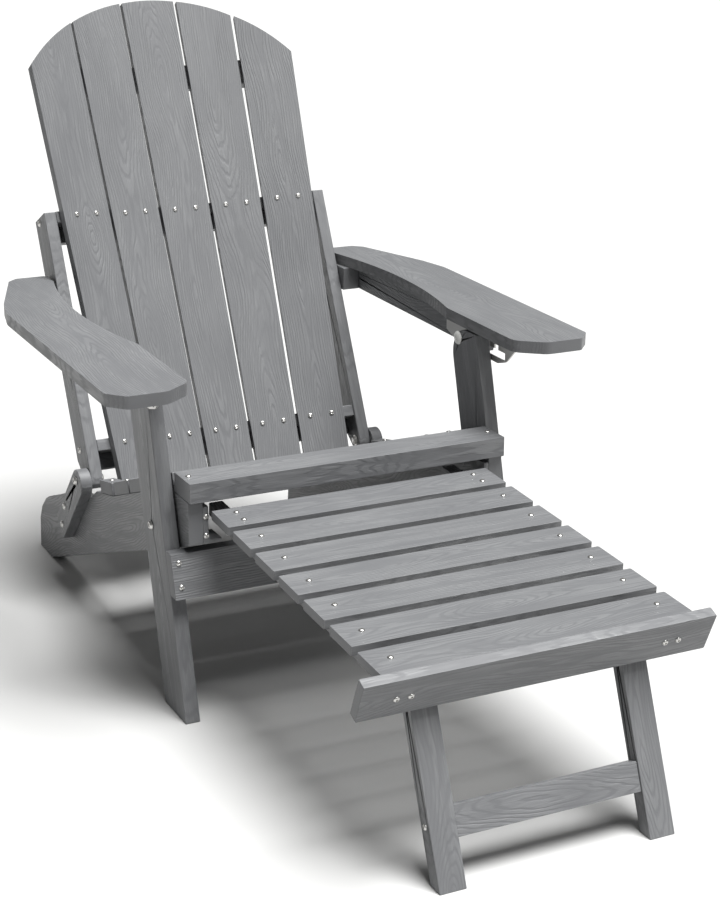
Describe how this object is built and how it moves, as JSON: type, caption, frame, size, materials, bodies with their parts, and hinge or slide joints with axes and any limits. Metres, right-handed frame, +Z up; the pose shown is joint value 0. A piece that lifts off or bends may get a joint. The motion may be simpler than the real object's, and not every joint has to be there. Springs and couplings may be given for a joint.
{
  "type": "folding adirondack chair",
  "caption": "Folding adirondack chair in dark grey embossed poly lumber, with a fan back of slats on a reclining frame, broad arms and a slatted footrest that slides out on its own legs.",
  "frame": {"origin": "on the floor, at the middle of the chair's length and width with the footrest out", "axes": "+X towards the sitter's left, +Y towards the back of the chair, +Z up"},
  "size_m": [0.747, 1.3915, 0.9245],
  "materials": {
    "poly_lumber": "embossed wood grain, matt",
    "bolt_steel": "satin stainless",
    "plate_steel": "satin stainless",
    "screw_steel": "satin stainless",
    "white_cap": "smooth"
  },
  "bodies": {
    "seat": {"seat_rail_left": "poly_lumber", "seat_rail_right": "poly_lumber", "seat_slat_1": "poly_lumber", "seat_slat_2": "poly_lumber", "seat_slat_3": "poly_lumber", "seat_slat_4": "poly_lumber", "seat_slat_5": "poly_lumber", "front_board": "poly_lumber", "back_bracket_left": "poly_lumber", "back_bracket_right": "poly_lumber", "footrest_guide_left": "poly_lumber", "footrest_guide_right": "poly_lumber", "seat_screws": "screw_steel", "leg_pivot_bolts": "bolt_steel", "bracket_bolts": "bolt_steel"},
    "front_legs": {"front_leg_left": "poly_lumber", "front_leg_right": "poly_lumber", "apron": "poly_lumber", "apron_screws": "screw_steel", "arm_pins": "white_cap"},
    "back": {"back_upright_left": "poly_lumber", "back_upright_right": "poly_lumber", "back_slat_1": "poly_lumber", "back_slat_2": "poly_lumber", "back_slat_3": "poly_lumber", "back_slat_4": "poly_lumber", "back_slat_5": "poly_lumber", "back_crossbar_lower": "poly_lumber", "back_crossbar_upper": "poly_lumber", "back_stiffener_lower": "poly_lumber", "back_stiffener_upper": "poly_lumber", "top_batten": "poly_lumber", "back_screws": "screw_steel", "upright_bolts": "bolt_steel", "back_pivot_bolts": "bolt_steel"},
    "arms": {"arm_left": "poly_lumber", "arm_right": "poly_lumber", "arm_rail_left": "poly_lumber", "arm_rail_right": "poly_lumber", "arm_block_left": "poly_lumber", "arm_block_right": "poly_lumber", "latch_plate_left": "plate_steel", "latch_plate_right": "plate_steel", "arm_pivot_bolts": "bolt_steel"},
    "footrest": {"footrest_slat_1": "poly_lumber", "footrest_slat_2": "poly_lumber", "footrest_slat_3": "poly_lumber", "footrest_slat_4": "poly_lumber", "footrest_slat_5": "poly_lumber", "footrest_slat_6": "poly_lumber", "footrest_slat_7": "poly_lumber", "end_board": "poly_lumber", "footrest_rail_left": "poly_lumber", "footrest_rail_right": "poly_lumber", "footrest_screws": "screw_steel", "footrest_leg_bolts": "bolt_steel"},
    "footrest_legs": {"footrest_leg_left": "poly_lumber", "footrest_leg_right": "poly_lumber", "footrest_crossbar": "poly_lumber", "footrest_leg_screws": "screw_steel"}
  },
  "joints": [
    {"name": "front_leg_fold", "type": "hinge", "parent": "seat", "child": "front_legs", "pos_m": [0, -0.027, 0.26049], "axis": [1, 0, 0], "range_deg": [0, 84]},
    {"name": "back_fold", "type": "hinge", "parent": "seat", "child": "back", "pos_m": [0, 0.3466, 0.21099], "axis": [1, 0, 0], "range_deg": [0, 84]},
    {"name": "arm_fold", "type": "hinge", "parent": "back", "child": "arms", "pos_m": [0, 0.48389, 0.47395], "axis": [1, 0, 0], "range_deg": [-86.52, 0]},
    {"name": "footrest_slide", "type": "hinge", "parent": "seat", "child": "footrest", "pos_m": [0, -0.2746, -0.9842], "axis": [1, 0, 0], "range_deg": [-22.8, 0]},
    {"name": "footrest_leg_fold", "type": "hinge", "parent": "footrest", "child": "footrest_legs", "pos_m": [0, -0.58742, 0.24844], "axis": [1, 0, 0], "range_deg": [0, 114.7]}
  ],
  "couplings": [
    {"joint": "back_fold", "follows": "front_leg_fold", "ratio": 1},
    {"joint": "arm_fold", "follows": "front_leg_fold", "ratio": -1.03}
  ]
}
